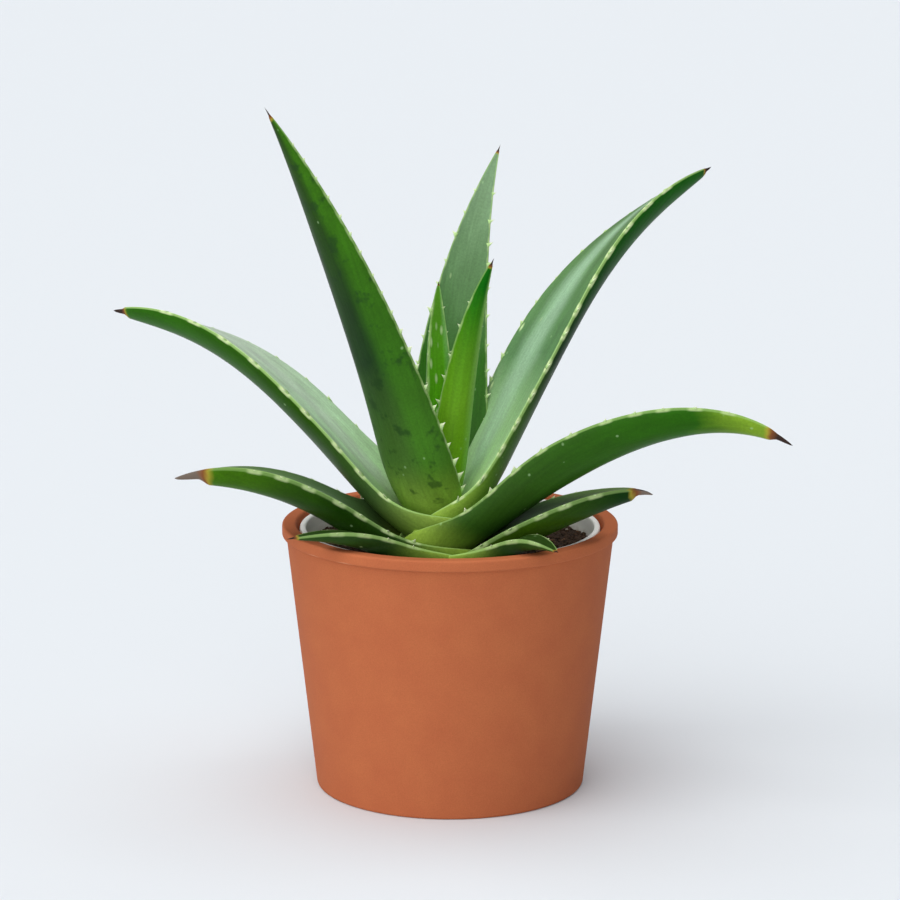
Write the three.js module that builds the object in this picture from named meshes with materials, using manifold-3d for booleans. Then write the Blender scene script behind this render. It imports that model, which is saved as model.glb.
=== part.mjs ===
// A young aloe in a white growing pot, which stands in a terracotta cover pot.
// Millimetres, Z up. The cover pot's base is on z = 0, its centre at the origin, and the viewer is at -Y.
import * as THREE from "three";
import { mergeVertices } from "three/addons/utils/BufferGeometryUtils.js";
import Module from "manifold-3d";

const wasm = await Module();
wasm.setup();

// ---- driving dimensions ----

const gap = 0.3; // between pieces that touch
const leafGap = 0.35; // between a leaf and what it clasps

const pot = {
  height: 120, rimRadius: 75, lipHeight: 5, bodyTopRadius: 73.1, baseRadius: 60.2,
  wall: 5, floor: 6,
  round: 1.4, // of the rim's two top edges
  foot: 1.2, lipEdge: 0.6, floorFillet: 3, // bevels below, under the lip and inside on the floor
};
const growingPot = {
  rimBelow: 1.4, // how far its rim stays below the cover pot's
  wall: 1.8, floor: 2.2, foot: 2, rimHeight: 6, rimWall: 2.8,
  rimPlay: 0.7, wallPlay: 2, // sideways room between the two pots
  drainHoles: 6, drainRadius: 4.5, drainCircle: 32,
};
const soil = {
  top: 109.5, // at the wall
  neckTop: 95.5, // in the hollow under the leaves
  neckRadius: 31, hollowRadius: 50,
  bump: 0.9, calm: 4, // height of its crumbs, and how near the wall they fade out
  rings: 9, // of points on its top
};
// Radius and height up the stem, from its buried foot to the growing point.
const stemProfile = [
  [0, 72], [9, 73.5], [12.5, 80], [15, 91], [15.6, 100], [14, 104.5], [11.6, 108],
  [7.6, 112], [4.6, 116.5], [2.8, 120], [0, 125],
];
const rosette = new THREE.Vector2(-4, -13); // the stem's axis

const tooth = {
  spacingSpread: 0.4, height: 3.3, radius: 2, sizeSpread: 0.3,
  shrink: 0.55, // how much smaller the last tooth is than the first
  fullWidth: 24, // a leaf narrower than this has smaller teeth
  tipMargin: 8, // bare edge before the dried end
  sunk: 1.3, lean: 0.5, flatness: 0.55, sides: 4,
  seed: 43, // of the teeth's spacing and sizes; each leaf adds its number
};
const section = {
  edge: 0.5, // half the thickness of a leaf's edge
  tipAngle: 0.05, bellyPower: 0.7, thickTaper: 1.1, edgePower: 4,
  rootThinning: 0.7, // how much thinner the clasping base is
  drying: 0.42, dryingRun: 0.35, // how much the dried end shrinks, and over which share of it
  rollDone: 0.45, // share of the length over which a leaf takes its roll; the tip's roll follows
};

// The leaves, from the heart outwards. Each path is a cubic curve up the middle of the upper face: its root,
// two handles and its tip. heading is where the leaf grows to, in degrees from +X, and turns its width.
// root and wrap are the radius and half angle of the base that clasps the stem, and sheath is that base's
// length. bend is the half angle of the channelled blade, and roll and tipRoll turn the free blade and its
// end about the path. taper says how late a blade narrows, blunt below 1 rounds its end, and dry is the
// length of the dried end. teeth is the usual distance from one tooth to the next.
const leaves = [
  {
    name: "leaf_heart", color: "#4f8f1c", heading: -53, width: 19, thick: 5.8,
    root: 4, wrap: 80, sheath: 21, bend: 36, roll: -6, tipRoll: 0, taper: 2.4, blunt: 0.84,
    dry: 4, teeth: 11,
    path: [[-2, -16, 118], [-1, -15, 158], [6, -15, 213], [19, -28, 243]],
  },
  {
    name: "leaf_spotted", color: "#4a8a20", heading: 129, width: 16.5, thick: 5.2,
    root: 3.6, wrap: 80, sheath: 20, bend: 35, roll: -7, tipRoll: 0, taper: 2.7, blunt: 0.8,
    dry: 2, teeth: 11,
    path: [[-6, -10, 119], [-1, -5, 154], [-7, 0, 194], [-5, 3, 228]],
  },
  {
    name: "leaf_back", color: "#6b9a6c", heading: 78, width: 42, thick: 8,
    root: 5.5, wrap: 80, sheath: 20, bend: 22, roll: 6, tipRoll: 0, taper: 1.65, blunt: 1,
    dry: 4, teeth: 11.5,
    path: [[-3, -8, 114], [-1, 13, 167], [1, 39, 227], [23, 59, 282]],
  },
  {
    name: "leaf_tall", color: "#33691e", heading: 233, width: 42, thick: 9.1,
    root: 8, wrap: 105, sheath: 23, bend: 26, roll: -8, tipRoll: 0, taper: 2.2, blunt: 0.96,
    dry: 6, teeth: 9.5,
    path: [[-9, -16, 113], [-13, -28, 163], [-50, -54, 267], [-77, -71, 313]],
  },
  {
    name: "leaf_right_high", color: "#5a8f58", heading: 11.5, width: 37.5, thick: 10.2,
    root: 8.4, wrap: 133, sheath: 23.2, bend: 12, roll: 16, tipRoll: -35.6, taper: 4.45, blunt: 0.615,
    dry: 5, teeth: 14,
    path: [[-9.8, -25.9, 110], [24, -3.2, 154.5], [43, 25, 246], [118, 48, 273]],
  },
  {
    name: "leaf_left_high", color: "#7fa67c", heading: 159, width: 41.2, thick: 9.8,
    root: 16.7, wrap: 131, sheath: 28.6, bend: 12, roll: 8, tipRoll: 14.5, taper: 4.12, blunt: 0.62,
    dry: 8, teeth: 15.5,
    path: [[-0.1, -12.4, 106], [-55.3, -9, 166.3], [-84.3, -3.9, 217], [-150, 14, 213]],
  },
  {
    name: "leaf_right_long", color: "#35701a", heading: -6, width: 29, thick: 8.3,
    root: 14.2, wrap: 130, sheath: 26.7, bend: 27.2, roll: -38.5, tipRoll: 14.5, taper: 3.71, blunt: 0.63,
    dry: 11, teeth: 14,
    path: [[-2.4, -21.8, 104], [17.8, -36.4, 141.6], [96.2, -66.9, 206.3], [143, -93, 174]],
  },
  {
    name: "leaf_left_low", color: "#3f7a2a", heading: 180, width: 27.2, thick: 10.6,
    root: 23.2, wrap: 133, sheath: 25.6, bend: 14.7, roll: 4.7, tipRoll: 9.2, taper: 4.08, blunt: 0.57,
    dry: 15, teeth: 12.5,
    path: [[-16.3, -13.2, 99], [-28.9, -36.2, 132], [-78.3, -39.4, 164.2], [-119, -47, 150]],
  },
  {
    name: "leaf_right_low", color: "#3f7a2a", heading: -9, width: 26.1, thick: 10.2,
    root: 20.7, wrap: 122, sheath: 14.5, bend: 25.2, roll: 3.7, tipRoll: -13.7, taper: 3.6, blunt: 0.66,
    dry: 10, teeth: 12.5,
    path: [[7.1, -20.6, 98], [-0.2, -37.8, 120.6], [73, -40.6, 152.4], [88, -44, 142]],
  },
  {
    name: "leaf_front_left", color: "#4a6f35", heading: 226, width: 15.5, thick: 6,
    root: 19, wrap: 70, sheath: 18, bend: 26, roll: 3, tipRoll: 0, taper: 2.9, blunt: 0.85,
    dry: 5, teeth: 11,
    path: [[-8, -36, 101], [-22, -50, 124], [-44, -55, 132], [-70, -64, 127]],
  },
  {
    name: "leaf_front_right", color: "#4a6f35", heading: -52, width: 14, thick: 6,
    root: 19, wrap: 70, sheath: 20, bend: 24, roll: 4, tipRoll: 0, taper: 3.2, blunt: 0.85,
    dry: 2, teeth: 10,
    path: [[10, -38, 101], [22, -50, 121], [32, -58, 133], [46, -76, 124]],
  },
];

const stations = 17; // rings along a leaf
const crowding = 1.1; // above 1 sets the rings closer at the root
const across = 6; // points across each face of a ring
// Flat sides of the turned shapes.
const around = { coverPot: 64, innerPot: 48, drainHole: 16, soil: 40, soilRoom: 24, stem: 16, stemHole: 24 };
const rough = { clay: 0.85, plastic: 0.4, soil: 1, stem: 0.7, leaf: 0.45 };

// ---- solids and booleans ----

function solidOf(geometry) {
  const bare = geometry.clone();
  bare.deleteAttribute("normal");
  bare.deleteAttribute("uv");
  const merged = mergeVertices(bare, 1e-4);
  return new wasm.Manifold(new wasm.Mesh({
    numProp: 3,
    vertProperties: merged.attributes.position.array,
    triVerts: new Uint32Array(merged.index.array),
  }));
}

function geometryOf(solid) {
  const { vertProperties, triVerts } = solid.getMesh();
  const geometry = new THREE.BufferGeometry();
  geometry.setAttribute("position", new THREE.BufferAttribute(vertProperties, 3));
  geometry.setIndex(new THREE.BufferAttribute(triVerts, 1));
  return geometry;
}

// The biggest body of a cut solid, without the crumbs that a cut can leave.
function mainBody(solid) {
  return solid.decompose().reduce((best, body) => (body.volume() > best.volume() ? body : best));
}

function meshOf(name, geometry, color, roughness) {
  geometry.computeVertexNormals();
  const mesh = new THREE.Mesh(geometry, new THREE.MeshStandardMaterial({ color, roughness, metalness: 0 }));
  mesh.name = name;
  return mesh;
}

// A profile of [radius, height] turned about Z.
function turned(profile, segments) {
  const points = profile.map(([radius, height]) => new THREE.Vector2(radius, height));
  return new THREE.LatheGeometry(points, segments).rotateX(Math.PI / 2);
}

// An arc that rounds a profile's edge, from one angle to another in degrees.
function corner(radius, height, round, from, to) {
  const steps = 2;
  return Array.from({ length: steps + 1 }, (_, i) => {
    const angle = THREE.MathUtils.degToRad(THREE.MathUtils.lerp(from, to, i / steps));
    return [radius + round * Math.cos(angle), height + round * Math.sin(angle)];
  });
}

// ---- the two pots ----

const bodyTop = pot.height - pot.lipHeight;
const slope = (pot.bodyTopRadius - pot.baseRadius) / bodyTop;
const coverInner = (z) => pot.baseRadius + slope * z - pot.wall; // inside radius of the cover pot

function coverPot() {
  const { height, rimRadius, floor, round, foot, lipEdge, floorFillet } = pot;
  return turned([
    [0, 0], [pot.baseRadius - foot, 0], [pot.baseRadius, foot], [pot.bodyTopRadius, bodyTop],
    [rimRadius - lipEdge, bodyTop], [rimRadius, bodyTop + lipEdge],
    ...corner(rimRadius - round, height - round, round, 0, 90),
    ...corner(coverInner(height) + round, height - round, round, 90, 180),
    [coverInner(floor + floorFillet), floor + floorFillet],
    [coverInner(floor) - floorFillet, floor], [0, floor],
  ], around.coverPot);
}

const linerFloor = pot.floor + gap;
const linerTop = pot.height - growingPot.rimBelow;
const linerInner = (z) => coverInner(z) - growingPot.wallPlay - growingPot.wall;

function innerPot() {
  const { wall, floor, foot, rimHeight, rimWall, rimPlay } = growingPot;
  const { drainHoles, drainRadius, drainCircle } = growingPot;
  const rimBottom = linerTop - rimHeight;
  const rimOuter = coverInner(rimBottom) - rimPlay;
  const round = rimWall / 2;
  const shell = solidOf(turned([
    [0, linerFloor], [linerInner(linerFloor) + wall - foot, linerFloor],
    [linerInner(linerFloor + foot) + wall, linerFloor + foot],
    [linerInner(rimBottom) + wall, rimBottom], [rimOuter, rimBottom],
    ...corner(rimOuter - round, linerTop - round, round, 0, 180),
    [linerInner(rimBottom), rimBottom],
    [linerInner(linerFloor + floor), linerFloor + floor], [0, linerFloor + floor],
  ], around.innerPot));
  let drained = shell;
  for (let i = 0; i < drainHoles; i++) {
    const hole = new THREE.CylinderGeometry(drainRadius, drainRadius, 4 * floor, around.drainHole);
    hole.rotateX(Math.PI / 2).translate(drainCircle, 0, linerFloor + floor / 2);
    hole.rotateZ((2 * Math.PI * i) / drainHoles);
    drained = drained.subtract(solidOf(hole));
  }
  return geometryOf(drained);
}

// ---- stem and soil ----

const stemGeometry = turned(stemProfile, around.stem).translate(rosette.x, rosette.y, 0);

// Crumbly height on the soil at a place, between -1 and 1.
function crumbs(x, y) {
  const coarse = Math.sin(0.31 * x + 1.3) * Math.cos(0.27 * y - 0.6);
  const fine = Math.sin(0.83 * x - 0.71 * y) * Math.cos(0.62 * x + 0.94 * y + 2);
  return 0.6 * coarse + 0.4 * fine;
}

// How high the soil lies at a distance from the stem's axis, crumbs left out.
function soilLevel(fromStem) {
  const rise = THREE.MathUtils.smoothstep(fromStem, soil.neckRadius, soil.hollowRadius);
  return THREE.MathUtils.lerp(soil.neckTop, soil.top, rise);
}

function soilBody() {
  const bottom = linerFloor + growingPot.floor + gap;
  const outer = (z) => linerInner(z) - gap;
  const { rings } = soil;
  const topRings = Array.from({ length: rings }, (_, i) => [outer(soil.top) * (1 - i / rings), soil.top]);
  const profile = [[0, bottom], [outer(bottom), bottom], ...topRings, [0, soil.top]];
  const body = turned(profile, around.soil);
  const place = body.attributes.position;
  for (let i = 0; i < place.count; i++) {
    if (place.getZ(i) < soil.top - 1) continue;
    const x = place.getX(i);
    const y = place.getY(i);
    const fromWall = outer(soil.top) - Math.hypot(x, y);
    const fromStem = Math.hypot(x - rosette.x, y - rosette.y);
    const calm = Math.min(1, fromWall / soil.calm);
    place.setZ(i, soilLevel(fromStem) + soil.bump * calm * crumbs(x, y));
  }
  const footHole = stemProfile[0][1] - leafGap;
  const widest = Math.max(...stemProfile.map(([radius]) => radius)) + leafGap;
  const { height } = pot;
  const hole = turned([[0, footHole], [widest, footHole], [widest, height], [0, height]], around.stemHole);
  hole.translate(rosette.x, rosette.y, 0);
  return geometryOf(solidOf(body).subtract(solidOf(hole)));
}

// The room the soil and its highest crumbs take up around the stem, which no leaf grows into.
function soilRoom() {
  const { neckRadius, hollowRadius } = soil;
  const radii = [1, 0.75, 0.5, 0.25, 0].map((f) => THREE.MathUtils.lerp(neckRadius, hollowRadius, f));
  const surface = radii.map((radius) => [radius, soilLevel(radius) + soil.bump + leafGap]);
  const foot = stemProfile[0][1];
  const top = surface.at(-1)[1];
  const room = turned([[0, foot], [hollowRadius, foot], ...surface, [0, top]], around.soilRoom);
  return solidOf(room.translate(rosette.x, rosette.y, 0));
}

// ---- leaves ----

// Where a leaf is at the share f of its length: the point on its path and its three directions.
function frameAt(leaf, f) {
  const point = leaf.curve.getPointAt(f);
  const along = leaf.curve.getTangentAt(f);
  const heading = THREE.MathUtils.degToRad(leaf.heading);
  const bladeRoll = leaf.roll * THREE.MathUtils.smoothstep(f, 0, section.rollDone);
  const endRoll = leaf.tipRoll * THREE.MathUtils.smoothstep(f, section.rollDone, 1);
  const roll = THREE.MathUtils.degToRad(bladeRoll + endRoll);
  const wide = new THREE.Vector3(-Math.sin(heading), Math.cos(heading), 0);
  wide.addScaledVector(along, -wide.dot(along)).normalize().applyAxisAngle(along, roll);
  const inward = along.clone().cross(wide);
  return { point, along, wide, inward };
}

// Half angle, half width and thickness of a leaf at the share f of its length.
function sectionAt(leaf, f) {
  const length = leaf.curve.getLength();
  const hug = Math.exp(-(((f * length) / leaf.sheath) ** 2)); // 1 at the root, 0 on the free blade
  const rootAngle = THREE.MathUtils.degToRad(leaf.wrap);
  const bladeAngle = THREE.MathUtils.degToRad(leaf.bend) * (1 - f) + section.tipAngle;
  const dryShare = leaf.dry / length;
  const dried = THREE.MathUtils.smoothstep(f, 1 - dryShare, 1 - (1 - section.dryingRun) * dryShare);
  const shrink = 1 - section.drying * dried;
  const bladeWidth = (leaf.width / 2) * (1 - f ** leaf.taper) ** leaf.blunt;
  const fullness = (1 - f ** (section.thickTaper * leaf.taper)) ** leaf.blunt;
  return {
    angle: THREE.MathUtils.lerp(bladeAngle, rootAngle, hug),
    halfWidth: shrink * THREE.MathUtils.lerp(bladeWidth, leaf.root * rootAngle, hug),
    thickness: shrink * leaf.thick * fullness * (1 - section.rootThinning * hug),
    edge: section.edge * (1 - f ** section.edgePower),
  };
}

// The point at u across a leaf, -1 and 1 being its edges, and at depth 0 on its upper face and 1 below.
function leafPoint(frame, cut, u, depth) {
  const turn = u * cut.angle;
  const radius = cut.halfWidth / cut.angle;
  const belly = cut.thickness * Math.max(0, 1 - u * u) ** section.bellyPower;
  const reach = radius + THREE.MathUtils.lerp(-cut.edge, cut.edge + belly, depth);
  return frame.point.clone()
    .addScaledVector(frame.wide, reach * Math.sin(turn))
    .addScaledVector(frame.inward, radius - reach * Math.cos(turn));
}

// A leaf's blade: rings from root to tip, each going over the upper face and back under the lower one.
function bladeGeometry(leaf) {
  const places = [];
  const ring = 2 * across;
  for (let s = 0; s < stations; s++) {
    const f = (s / stations) ** crowding;
    const frame = frameAt(leaf, f);
    const cut = sectionAt(leaf, f);
    for (const depth of [0, 1])
      for (let i = 0; i < across; i++) {
        const side = Math.sin((Math.PI / 2) * ((2 * i) / (across - 1) - 1));
        places.push(...leafPoint(frame, cut, depth ? -side : side, depth));
      }
  }
  places.push(...leaf.curve.getPointAt(1));
  const faces = [];
  const quad = (a, b, c, d) => faces.push(a, c, b, a, d, c);
  for (let s = 0; s < stations - 1; s++)
    for (let i = 0; i < ring; i++) {
      const [a, b] = [s * ring + i, s * ring + ((i + 1) % ring)];
      // The two faces are split alike, so that a thin blade keeps its thickness.
      if (i < across) quad(a, b, b + ring, a + ring);
      else quad(b, b + ring, a + ring, a);
    }
  const last = (stations - 1) * ring;
  for (let i = 0; i < ring; i++) faces.push(last + ((i + 1) % ring), last + i, stations * ring);
  for (let i = 0; i < across - 1; i++) quad(i + 1, i, ring - 1 - i, ring - 2 - i);
  const geometry = new THREE.BufferGeometry();
  geometry.setAttribute("position", new THREE.Float32BufferAttribute(places, 3));
  geometry.setIndex(faces);
  return geometry;
}

// The same shape, bigger all round.
function grown(geometry, by) {
  const bigger = geometry.clone();
  bigger.deleteAttribute("uv");
  bigger.deleteAttribute("normal");
  const merged = mergeVertices(bigger, 1e-4);
  merged.computeVertexNormals();
  const { position, normal } = merged.attributes;
  const place = new THREE.Vector3();
  for (let i = 0; i < position.count; i++) {
    place.fromBufferAttribute(position, i);
    place.addScaledVector(new THREE.Vector3().fromBufferAttribute(normal, i), by);
    position.setXYZ(i, ...place);
  }
  return merged;
}

// A thorn-like tooth on a leaf's edge, leaning towards the tip, with its root sunk in the blade.
function toothSolid(leaf, f, side, size) {
  const frame = frameAt(leaf, f);
  const cut = sectionAt(leaf, f);
  const foot = leafPoint(frame, cut, side, 0.5);
  const turn = side * cut.angle;
  const outward = frame.wide.clone().multiplyScalar(side * Math.cos(turn));
  outward.addScaledVector(frame.inward, side * Math.sin(turn));
  const point = outward.clone().addScaledVector(frame.along, tooth.lean).normalize();
  const flat = outward.clone().cross(frame.along).normalize();
  const length = tooth.height * size + tooth.sunk;
  const cone = new THREE.ConeGeometry(tooth.radius * size, length, tooth.sides);
  cone.scale(1, 1, tooth.flatness).translate(0, length / 2 - tooth.sunk, 0);
  const basis = new THREE.Matrix4().makeBasis(point.clone().cross(flat), point, flat);
  return solidOf(cone.applyMatrix4(basis).translate(foot.x, foot.y, foot.z));
}

// Where the teeth of one edge stand, as shares of the leaf's length, each with its size.
function toothPlaces(leaf, random) {
  const length = leaf.curve.getLength();
  const vary = (spread) => 1 + spread * (random() - 0.5);
  const places = [];
  let at = leaf.sheath;
  while (at < length - leaf.dry - tooth.tipMargin) {
    const f = at / length;
    const size = (1 - tooth.shrink * f) * vary(tooth.sizeSpread) * Math.min(1, leaf.width / tooth.fullWidth);
    places.push({ f, size });
    at += leaf.teeth * vary(tooth.spacingSpread);
  }
  return places;
}

// A small seeded random generator, 0 to 1.
function seeded(seed) {
  let state = seed;
  return () => {
    state = (state * 1664525 + 1013904223) % 4294967296;
    return state / 4294967296;
  };
}

// Each leaf rests on the soil and clasps the stem and the leaves inside it: their shapes, a little grown,
// are cut from it.
function growLeaves(stem) {
  const clasped = [soilRoom(), solidOf(grown(stem, leafGap))];
  for (const leaf of leaves) {
    leaf.curve = new THREE.CubicBezierCurve3(...leaf.path.map((point) => new THREE.Vector3(...point)));
    const blade = bladeGeometry(leaf);
    leaf.solid = mainBody(clasped.reduce((rest, inner) => rest.subtract(inner), solidOf(blade)));
    leaf.room = solidOf(grown(blade, leafGap));
    clasped.push(leaf.room);
  }
  const teeth = [];
  leaves.forEach((leaf, index) => {
    const random = seeded(tooth.seed + index);
    const others = leaves.filter((other) => other !== leaf).map((other) => other.room).concat(teeth);
    for (const side of [-1, 1])
      for (const { f, size } of toothPlaces(leaf, random)) {
        const one = toothSolid(leaf, f, side, size);
        if (others.some((other) => one.intersect(other).volume() > 0)) continue;
        leaf.solid = leaf.solid.add(one);
        teeth.push(one);
      }
  });
  return leaves.map((leaf) => meshOf(leaf.name, geometryOf(mainBody(leaf.solid)), leaf.color, rough.leaf));
}

// ---- the part ----

const part = new THREE.Group();
part.add(
  meshOf("cover_pot", coverPot(), "#c06e46", rough.clay),
  meshOf("inner_pot", innerPot(), "#f1f1ee", rough.plastic),
  meshOf("soil", soilBody(), "#3b2a20", rough.soil),
  meshOf("stem", stemGeometry, "#8f9a5c", rough.stem),
  ...growLeaves(stemGeometry),
);

export default part;
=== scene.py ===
import math
from functools import partial

import bmesh
import bpy
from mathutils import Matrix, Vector, noise


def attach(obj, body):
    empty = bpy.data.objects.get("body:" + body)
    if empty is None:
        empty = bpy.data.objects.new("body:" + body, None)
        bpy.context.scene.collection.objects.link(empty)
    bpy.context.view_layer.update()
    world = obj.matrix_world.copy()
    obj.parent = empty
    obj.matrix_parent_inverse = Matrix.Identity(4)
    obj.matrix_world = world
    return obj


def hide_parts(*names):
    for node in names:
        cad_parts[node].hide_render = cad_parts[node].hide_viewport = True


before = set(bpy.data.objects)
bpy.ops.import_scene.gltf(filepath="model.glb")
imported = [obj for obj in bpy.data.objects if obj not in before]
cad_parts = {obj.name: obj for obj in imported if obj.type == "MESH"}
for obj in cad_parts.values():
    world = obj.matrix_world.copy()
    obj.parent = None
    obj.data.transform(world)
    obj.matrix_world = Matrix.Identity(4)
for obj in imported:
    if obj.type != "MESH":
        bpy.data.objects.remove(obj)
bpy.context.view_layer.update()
mm = 0.001
print("frame loaded:", len(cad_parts), "nodes")


# small helpers

nodeGrid = {"columns": 9, "across": 190, "down": 260}  # how the node editor shows a tree
maths, vectorMaths, mix = "ShaderNodeMath", "ShaderNodeVectorMath", "ShaderNodeMix"
mapRange = "ShaderNodeMapRange"  # its inputs are the value, from min, from max, to min and to max


def linearColor(hexCode):  # an sRGB hex colour as linear RGBA
    channels = [int(hexCode[i:i + 2], 16) / 255 for i in (1, 3, 5)]
    return [c / 12.92 if c <= 0.04045 else ((c + 0.055) / 1.055) ** 2.4 for c in channels] + [1.0]


def addNode(tree, kind, inputs=(), **settings):  # an input is a value, a socket, or a node's first output
    node = tree.nodes.new(kind)
    for name, value in settings.items():
        setattr(node, name, value)
    for key, value in inputs.items() if isinstance(inputs, dict) else enumerate(inputs):
        if isinstance(value, bpy.types.Node):
            value = value.outputs[0]
        if isinstance(value, bpy.types.NodeSocket):
            tree.links.new(value, node.inputs[key])
        else:
            node.inputs[key].default_value = value
    row, column = divmod(len(tree.nodes), nodeGrid["columns"])
    node.location = (column * nodeGrid["across"], -row * nodeGrid["down"])
    return node


def newMaterial(name):  # an empty material, and addNode for its tree
    material = bpy.data.materials.new(name)
    material.use_nodes = True
    material.node_tree.nodes.clear()
    return material, partial(addNode, material.node_tree)


def newTree(name, sockets, result):  # a geometry tree with named inputs, addNode for it, and its inputs
    tree = bpy.data.node_groups.new(name, "GeometryNodeTree")
    for kind, names in sockets.items():
        for socketName in names:
            tree.interface.new_socket(socketName, in_out="INPUT", socket_type="NodeSocket" + kind)
    tree.interface.new_socket(result, in_out="OUTPUT", socket_type="NodeSocketGeometry")
    add = partial(addNode, tree)
    return tree, add, add("NodeGroupInput").outputs


def setInputs(modifier, values):  # a modifier's inputs are set by the socket's identifier
    for item in modifier.node_group.interface.items_tree:
        if item.in_out == "INPUT" and item.name in values:
            modifier[item.identifier] = values[item.name]


def setStops(rampNode, stops):  # the places and sRGB colours of a colour ramp
    steps = rampNode.color_ramp.elements
    for where, tone in stops[1:-1]:
        steps.new(where)
    for step, (where, tone) in zip(steps, stops):
        step.position = where
        step.color = linearColor(tone)


def placeObject(name, data):
    placed = bpy.data.objects.new(name, data)
    bpy.context.scene.collection.objects.link(placed)
    return placed


def makePiece(name, mesh, node=None):  # a finished mesh becomes a piece on the root body
    piece = placeObject(name, mesh)
    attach(piece, "root")
    if node:
        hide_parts(node)
    return piece


def dressed(mesh, material):  # a mesh with this material alone
    mesh.materials.clear()
    mesh.materials.append(material)
    return mesh


def bakedMesh(owner, name):  # the evaluated result of an object's modifiers, as a plain mesh
    result = bpy.data.meshes.new_from_object(owner.evaluated_get(bpy.context.evaluated_depsgraph_get()))
    result.name = name
    owner.modifiers.clear()
    return result


def ringOf(build, radius, height, segments):  # a level ring about Z, or one point on it, from sizes in mm
    ring = []
    for i in range(segments if radius else 1):
        angle = 2 * math.pi * i / segments
        x, y = radius * math.cos(angle), radius * math.sin(angle)
        ring.append(build.verts.new((x * mm, y * mm, height * mm)))
    return ring


def joinRings(build, rings, segments):  # faces from each ring of points to the next
    for lower, upper in zip(rings, rings[1:]):
        for i in range(segments):
            j = (i + 1) % segments
            corners = [lower[i % len(lower)], lower[j % len(lower)], upper[j % len(upper)],
                       upper[i % len(upper)]]
            build.faces.new(list(dict.fromkeys(corners)))


def smoothMesh(name, build):  # ends a bmesh: faces outwards, shaded smooth
    bmesh.ops.recalc_face_normals(build, faces=build.faces)
    mesh = bpy.data.meshes.new(name)
    build.to_mesh(mesh)
    build.free()
    for face in mesh.polygons:
        face.use_smooth = True
    return mesh


def turnedMesh(name, profile, segments):  # a profile of (radius, height) turned about Z, closed at the axis
    build = bmesh.new()
    joinRings(build, [ringOf(build, radius, height, segments) for radius, height in profile], segments)
    return smoothMesh(name, build)


def roundedProfile(points, radius, steps=4):  # rounds the corners of a profile that aren't on the axis
    result = [points[0]]
    for before, here, after in zip(points, points[1:], points[2:]):
        here = Vector(here)
        inward = Vector(before) - here
        onward = Vector(after) - here
        reach = min(radius, inward.length * 0.45, onward.length * 0.45)  # as two corners share an edge
        start = here + inward.normalized() * reach
        end = here + onward.normalized() * reach
        for i in range(steps + 1):
            t = i / steps
            bent = start * (1 - t) ** 2 + here * 2 * t * (1 - t) + end * t ** 2
            result.append((bent.x, bent.y))
    return result + [points[-1]]


# camera: in front, looking down a little through a long lens
cameraLook = {"elevation": 12, "distance": 1.502, "aimHeight": 0.1525, "lens": 135, "clipEnd": 50}
camera = placeObject("camera", bpy.data.cameras.new("camera"))
rise = math.radians(cameraLook["elevation"])
camera.location = (0, -cameraLook["distance"] * math.cos(rise),
                   cameraLook["aimHeight"] + cameraLook["distance"] * math.sin(rise))
camera.rotation_euler = (math.pi / 2 - rise, 0, 0)
camera.data.lens = cameraLook["lens"]
camera.data.clip_end = cameraLook["clipEnd"]
bpy.context.scene.camera = camera
print("camera set")

# light: a bright studio, with a broad soft key from the front left and another lamp overhead
studio = {
    "air": "#eaeff5", "airStrength": 0.24, "floor": "#dfe3e7", "floorReach": 30,
    "key": {"from": (-0.5, -0.7, 0.42), "strength": 2.4, "width": 90},
    "top": {"from": (-0.1, 0.05, 1), "strength": 1.85, "width": 64},
}
world = bpy.data.worlds.new("studio air")
world.use_nodes = True
airShader = world.node_tree.nodes["Background"]
airShader.inputs["Color"].default_value = linearColor(studio["air"])
airShader.inputs["Strength"].default_value = studio["airStrength"]
bpy.context.scene.world = world
bpy.context.scene.view_settings.view_transform = "Standard"
for name in ("key", "top"):
    lamp = placeObject(name + " light", bpy.data.lights.new(name + " light", "SUN"))
    lamp.data.energy = studio[name]["strength"]
    lamp.data.angle = math.radians(studio[name]["width"])
    lamp.rotation_euler = Vector(studio[name]["from"]).to_track_quat("Z", "Y").to_euler()

floorMaterial, add = newMaterial("painted studio floor")  # even matte paint, with no grain that shows
add("ShaderNodeOutputMaterial", {"Surface": add("ShaderNodeBsdfPrincipled", {
    "Base Color": linearColor(studio["floor"]), "Roughness": 0.9, "Specular IOR Level": 0.1})})
floorMesh = bpy.data.meshes.new("floor")
reach = studio["floorReach"]
floorMesh.from_pydata([(-reach, -reach, 0), (reach, -reach, 0), (reach, reach, 0), (-reach, reach, 0)], [],
                      [(0, 1, 2, 3)])
placeObject("floor", dressed(floorMesh, floorMaterial))
print("studio lit")


# the terracotta cover pot

coverPot = {
    "height": 120, "rim": 75, "lip": 5, "lipEase": 0.4, "bodyTop": 73.1, "base": 60.2, "wall": 5, "floor": 6,
    "footRing": 6, "floorRing": 20, "corner": 1.3, "segments": 192,
    "clay": "#b96741", "paleClay": "#c27348", "darkClay": "#aa5737",
    "worn": "#dba07c", "grain": 0.5, "mottle": 14,
}


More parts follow.
